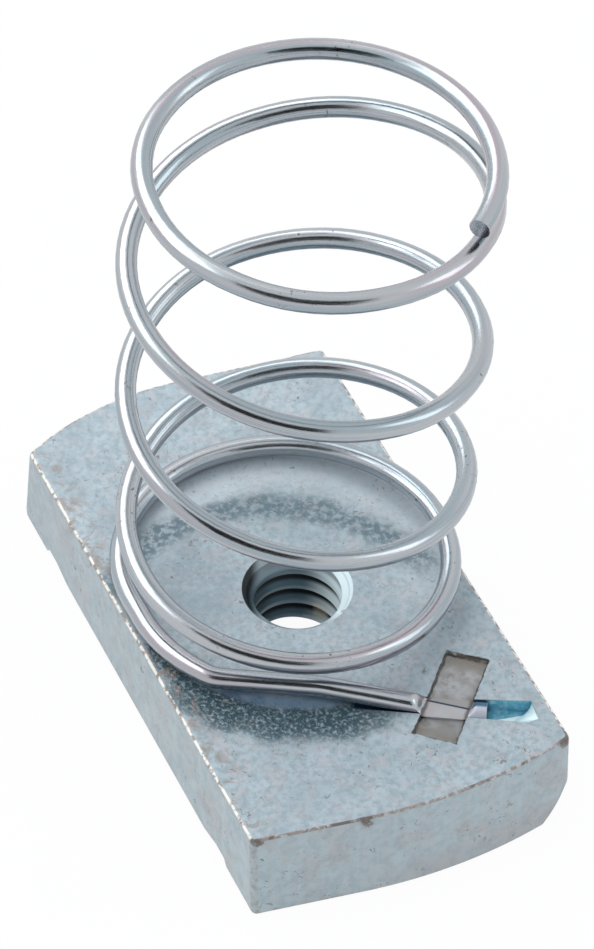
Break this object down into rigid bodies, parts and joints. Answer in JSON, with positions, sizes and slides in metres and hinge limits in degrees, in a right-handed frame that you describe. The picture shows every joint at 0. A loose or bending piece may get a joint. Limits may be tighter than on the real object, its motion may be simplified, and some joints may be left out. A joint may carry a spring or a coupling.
{
  "type": "strut channel spring nut",
  "caption": "Strut channel nut with a tapped hole, toothed lip grooves and a tall coil spring staked to its top face.",
  "frame": {"origin": "on the thread axis, level with the underside of the nut", "axes": "+Z along the thread axis towards the coil spring, +X along the nut towards its staked end, +Y across the nut"},
  "size_m": [0.0385, 0.0234, 0.0371],
  "materials": {
    "zinc_plated_block": "satin",
    "zinc_plated_wire": "polished"
  },
  "bodies": {
    "root": {"nut_body": "zinc_plated_block", "coil_spring": "zinc_plated_wire"}
  },
  "joints": []
}
